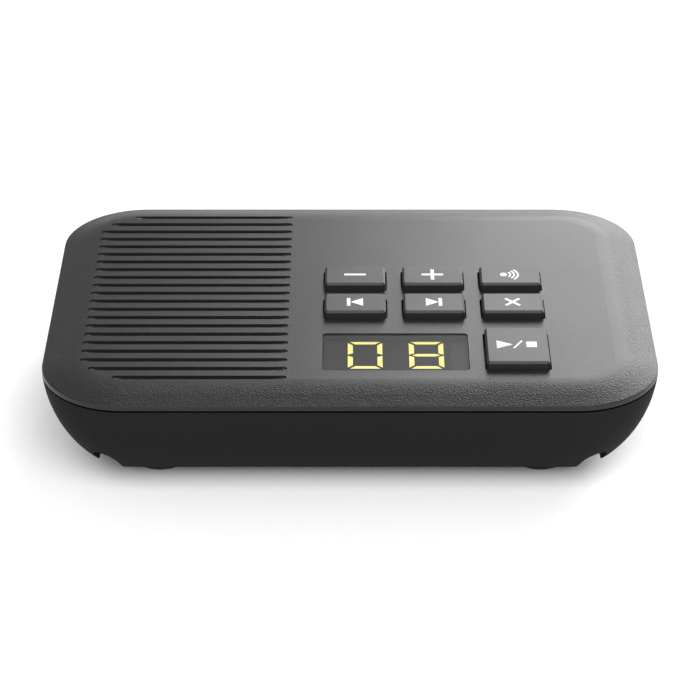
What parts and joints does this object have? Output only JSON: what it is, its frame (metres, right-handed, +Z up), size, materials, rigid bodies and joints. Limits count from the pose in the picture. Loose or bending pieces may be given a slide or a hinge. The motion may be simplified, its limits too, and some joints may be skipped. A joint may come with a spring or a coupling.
{
  "type": "answering machine",
  "caption": "Flat digital telephone answering machine with a slotted loudspeaker grille, small message keys, a larger play and stop key and a two-digit display.",
  "frame": {"origin": "centre of the box's underside, on the plane that the rubber feet stand on", "axes": "+X to the user's right along the long side, +Y to the rear, +Z up through the keys"},
  "size_m": [0.14, 0.098, 0.0297],
  "materials": {
    "cover": "fine grain, satin",
    "base": "fine grain, matte",
    "window": "clear, satin",
    "display": "matte",
    "lit_segment": "lit",
    "dark_segment": "satin",
    "key": "satin",
    "silicone": "matte",
    "board": "solder mask",
    "tinplate": "tinned",
    "chip": "matte",
    "can": "satin",
    "connector": "satin",
    "jack": "satin",
    "contact": "gilt",
    "foam": "matte",
    "basket": "satin",
    "magnet": "matte",
    "paper": "matte",
    "cloth": "woven",
    "foot": "matte",
    "screw": "zinc plated"
  },
  "bodies": {
    "housing": {"top_cover": "cover", "base_shell": "base", "display_window": "window", "display_body": "display", "lit_segments": "lit_segment", "dark_segment": "dark_segment", "key_mat": "silicone", "main_board": "board", "radio_shield": "tinplate", "board_chips": "chip", "capacitors": "can", "speaker_connector": "connector", "line_jack": "jack", "power_jack": "jack", "jack_contacts": "contact", "speaker_gasket": "foam", "speaker_frame": "basket", "speaker_magnet": "magnet", "speaker_cone": "paper", "speaker_dust_cap": "paper", "housing_screws": "screw", "board_screws": "screw", "grille_cloth": "cloth", "magnet_pad": "foam", "dome_minus": "silicone", "dome_plus": "silicone", "dome_paging": "silicone", "dome_previous": "silicone", "dome_next": "silicone", "dome_delete": "silicone", "dome_play_stop": "silicone", "foot_front_left": "foot", "foot_front_right": "foot", "foot_rear_left": "foot", "foot_rear_right": "foot"},
    "key_minus": {"key_minus": "key"},
    "key_plus": {"key_plus": "key"},
    "key_paging": {"key_paging": "key"},
    "key_previous": {"key_previous": "key"},
    "key_next": {"key_next": "key"},
    "key_delete": {"key_delete": "key"},
    "key_play_stop": {"key_play_stop": "key"}
  },
  "joints": [
    {"name": "press_minus", "type": "slide", "parent": "housing", "child": "key_minus", "axis": [0, 0, -1], "range_m": [0, 0.0008], "stiffness_N_per_m": 900, "springref_m": -0.0004, "deforming": ["dome_minus"]},
    {"name": "press_plus", "type": "slide", "parent": "housing", "child": "key_plus", "axis": [0, 0, -1], "range_m": [0, 0.0008], "stiffness_N_per_m": 900, "springref_m": -0.0004, "deforming": ["dome_plus"]},
    {"name": "press_paging", "type": "slide", "parent": "housing", "child": "key_paging", "axis": [0, 0, -1], "range_m": [0, 0.0008], "stiffness_N_per_m": 900, "springref_m": -0.0004, "deforming": ["dome_paging"]},
    {"name": "press_previous", "type": "slide", "parent": "housing", "child": "key_previous", "axis": [0, 0, -1], "range_m": [0, 0.0008], "stiffness_N_per_m": 900, "springref_m": -0.0004, "deforming": ["dome_previous"]},
    {"name": "press_next", "type": "slide", "parent": "housing", "child": "key_next", "axis": [0, 0, -1], "range_m": [0, 0.0008], "stiffness_N_per_m": 900, "springref_m": -0.0004, "deforming": ["dome_next"]},
    {"name": "press_delete", "type": "slide", "parent": "housing", "child": "key_delete", "axis": [0, 0, -1], "range_m": [0, 0.0008], "stiffness_N_per_m": 900, "springref_m": -0.0004, "deforming": ["dome_delete"]},
    {"name": "press_play_stop", "type": "slide", "parent": "housing", "child": "key_play_stop", "axis": [0, 0, -1], "range_m": [0, 0.0008], "stiffness_N_per_m": 900, "springref_m": -0.0004, "deforming": ["dome_play_stop"]}
  ]
}
